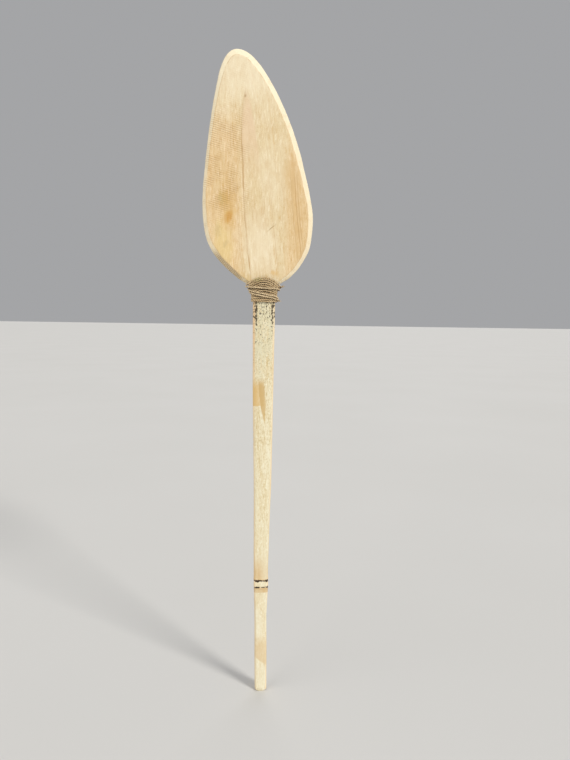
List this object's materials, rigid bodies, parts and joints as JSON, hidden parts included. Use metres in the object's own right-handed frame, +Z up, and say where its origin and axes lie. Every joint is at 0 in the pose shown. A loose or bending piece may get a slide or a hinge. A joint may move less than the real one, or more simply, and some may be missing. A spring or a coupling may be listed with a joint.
{
  "type": "paddle",
  "caption": "Single-bladed paddle: a carved teardrop wooden blade pegged and lashed with twine to a tapering split-bamboo handle.",
  "frame": {"origin": "middle of the handle's flat butt end", "axes": "+Z up the handle to the blade's tip, -Y out of the blade's front face, +X to the right as seen from the front"},
  "size_m": [0.1337, 0.0167, 0.8],
  "materials": {
    "blade_wood": "bare, pale, sanded and hand-carved",
    "bamboo": "smooth bamboo skin with shaved edges",
    "peg_bamboo": "bare split bamboo",
    "jute_twine": "hairy two-ply natural jute"
  },
  "bodies": {
    "root": {"blade": "blade_wood", "bamboo_handle": "bamboo", "peg_lower": "peg_bamboo", "peg_upper": "peg_bamboo", "twine_base_winding": "jute_twine", "twine_cross_winding": "jute_twine"}
  },
  "joints": []
}
